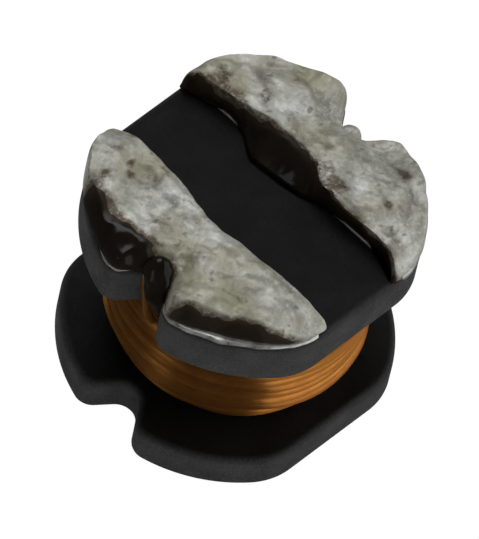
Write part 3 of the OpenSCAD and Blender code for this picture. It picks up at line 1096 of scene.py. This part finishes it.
# Pairs of y in millimetres and degrees down the rim
FAR_WRAP = ((-3, 80), (-2.2, 70), (-1.2, 30), (3, 30))
NEAR_WRAP = ((-2.4, 40), (-0.5, 44), (-0.2, 25), (0.3, 25), (0.6, 48), (1.0, 40), (1.4, 8),
             (3, 8))
for name, node, wrap, mirror in (("fired_terminal_start", "start_terminal", FAR_WRAP, 1),
                                 ("fired_terminal_finish", "finish_terminal", NEAR_WRAP, -1)):
    along, degrees = zip(*wrap)
    angles = np.radians(np.interp(EDGE_LOOP[:, 1] / MM, along, degrees))
    terminal = make_piece(name, [layer_rings(angles) * [mirror, 1, 1]], TERMINAL_METAL)
    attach(terminal, "root")
    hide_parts(node)


# %% [markdown]
# ## Floor, light and camera
# The part stands on a white sheet. The camera sees the sheet and the surroundings as
# plain white, and the sheet still takes the part's faint shadow. The sheet, and the sky
# near the horizon, also light the part's sides from all around, while glossy surfaces
# see them dim. One large soft lamp stands upright to the right, and its edge gives the
# turns of wire a sharp line between their bright side and their dark one. A smaller lamp
# lights the solder from behind, and a very small one puts a glint on the flux. The
# camera is far away with a long lens, which leaves almost no perspective, as in a
# close-up of so small a part.

# %% Floor
def seen_directly(tree, camera_share, glossy_share):
    """One share for camera rays, another for glossy and transmission rays, and 0 for the
    rays that light things."""
    rays = add_node(tree, "ShaderNodeLightPath").outputs
    seen = arithmetic(tree, "MULTIPLY", rays["Is Camera Ray"], camera_share)
    for ray in ("Is Glossy Ray", "Is Transmission Ray"):
        seen = arithmetic(tree, "MAXIMUM", seen,
                          arithmetic(tree, "MULTIPLY", rays[ray], glossy_share))
    return seen


FLOOR_HALF, FLOOR_Z = 0.4, -0.01 * MM
SHEET_GLOW, SHEET_IN_GLOSS, PLAIN_WHITE = 0.9, 0.05, 0.96
floor_mesh = bpy.data.meshes.new("floor")
floor_mesh.from_pydata([(x * FLOOR_HALF, y * FLOOR_HALF, FLOOR_Z)
                        for x, y in ((-1, -1), (1, -1), (1, 1), (-1, 1))], [], [(0, 1, 2, 3)])
floor = add_object("floor", floor_mesh)
sheet = Finish("white_sheet", Base_Color=(0.85, 0.85, 0.85, 1), Roughness=0.9,
               Emission_Color=(1, 1, 1, 1), Emission_Strength=SHEET_GLOW)
glow = sheet.add("ShaderNodeEmission", {
    "Color": (1, 1, 1, 1), "Strength": seen_directly(sheet.tree, 1.0, SHEET_IN_GLOSS)})
either = sheet.add("ShaderNodeMixShader", {"Fac": seen_directly(sheet.tree, PLAIN_WHITE, 1.0),
                                           1: sheet.shader.outputs[0], 2: glow.outputs[0]})
sheet.tree.links.new(either.outputs[0], sheet.tree.nodes["Material Output"].inputs["Surface"])
floor_mesh.materials.append(sheet.material)
print("floor:", 2 * FLOOR_HALF, "m wide")


# %% World
HORIZON_GLOW, SKY_GLOW, GLOW_TOP, SKY_IN_GLOSS = 0.80, 0.045, 0.4, 0.055
world = bpy.data.worlds.new("studio")
bpy.context.scene.world = world
world.use_nodes = True
sky = world.node_tree
direction = add_node(sky, "ShaderNodeTexCoord").outputs["Generated"]
upwards = add_node(sky, "ShaderNodeSeparateXYZ", {0: direction}).outputs["Z"]
horizon = add_node(sky, "ShaderNodeMapRange", {
    "Value": upwards, "From Min": 0.0, "From Max": GLOW_TOP,
    "To Min": HORIZON_GLOW, "To Max": SKY_GLOW})
diffuse = add_node(sky, "ShaderNodeLightPath").outputs["Is Diffuse Ray"]
lighting = arithmetic(sky, "MULTIPLY", horizon.outputs[0], diffuse)
strength = arithmetic(sky, "MAXIMUM", seen_directly(sky, 1.0, SKY_IN_GLOSS), lighting)
background = sky.nodes["Background"]
background.inputs["Color"].default_value = (1, 1, 1, 1)
sky.links.new(strength, background.inputs["Strength"])
print("world:", world.name)


# %% Lamps
LAMP_AIM = Vector((0, 0, 2.2 * MM))


def softbox(name, azimuth, elevation, distance, size, power, tilt=None):
    """A rectangular lamp that leans forward to face the part, or only as far as `tilt`:
    at 0 it stands upright. Angles are in degrees, azimuth from +X towards +Y."""
    def heading(azimuth, elevation):
        az, el = math.radians(azimuth), math.radians(elevation)
        return Vector((math.cos(az) * math.cos(el), math.sin(az) * math.cos(el), math.sin(el)))

    lamp = bpy.data.lights.new(name, "AREA")
    lamp.shape = "RECTANGLE"
    lamp.size, lamp.size_y = size
    lamp.energy = power
    holder = add_object(name, lamp)
    holder.location = LAMP_AIM + heading(azimuth, elevation) * distance
    face = heading(azimuth, elevation if tilt is None else tilt)
    holder.rotation_euler = face.to_track_quat("Z", "Y").to_euler()
    print(name, "at", [round(v, 3) for v in holder.location])


softbox("lamp_right", azimuth=-58, elevation=41, distance=0.265, size=(0.50, 0.35),
        power=0.61, tilt=0)
softbox("lamp_back", azimuth=60, elevation=62, distance=0.20, size=(0.12, 0.12), power=0.165)
softbox("lamp_left", azimuth=170, elevation=40, distance=0.20, size=(0.03, 0.05), power=0.006)


# %% Camera
VIEW_AZIMUTH, VIEW_ELEVATION, VIEW_ROLL = -0.965, 0.954, 0.232
VIEW_DISTANCE, VIEW_LENS = 0.29, 1135.6
MIDDLE, AIM_UP, AIM_RIGHT = Vector((0, 0, 2.175 * MM)), 0.0544, 0.006

back = Vector((math.sin(VIEW_AZIMUTH) * math.cos(VIEW_ELEVATION),
               -math.cos(VIEW_AZIMUTH) * math.cos(VIEW_ELEVATION), math.sin(VIEW_ELEVATION)))
level = Vector((math.cos(VIEW_AZIMUTH), math.sin(VIEW_AZIMUTH), 0))
upright = back.cross(level)
right = level * math.cos(VIEW_ROLL) + upright * math.sin(VIEW_ROLL)
up = upright * math.cos(VIEW_ROLL) - level * math.sin(VIEW_ROLL)
aim = MIDDLE + up * AIM_UP * MM + right * AIM_RIGHT * MM
camera_data = bpy.data.cameras.new("camera")
camera_data.lens = VIEW_LENS
camera_data.sensor_width = 36
camera_data.clip_start = 0.01
camera = add_object("camera", camera_data)
turn = Matrix((right, up, back)).transposed().to_4x4()
camera.matrix_world = Matrix.Translation(aim + back * VIEW_DISTANCE) @ turn
bpy.context.scene.camera = camera
bpy.context.scene.view_settings.view_transform = "Standard"
print("camera at", [round(v, 4) for v in camera.location])


# %% [markdown]
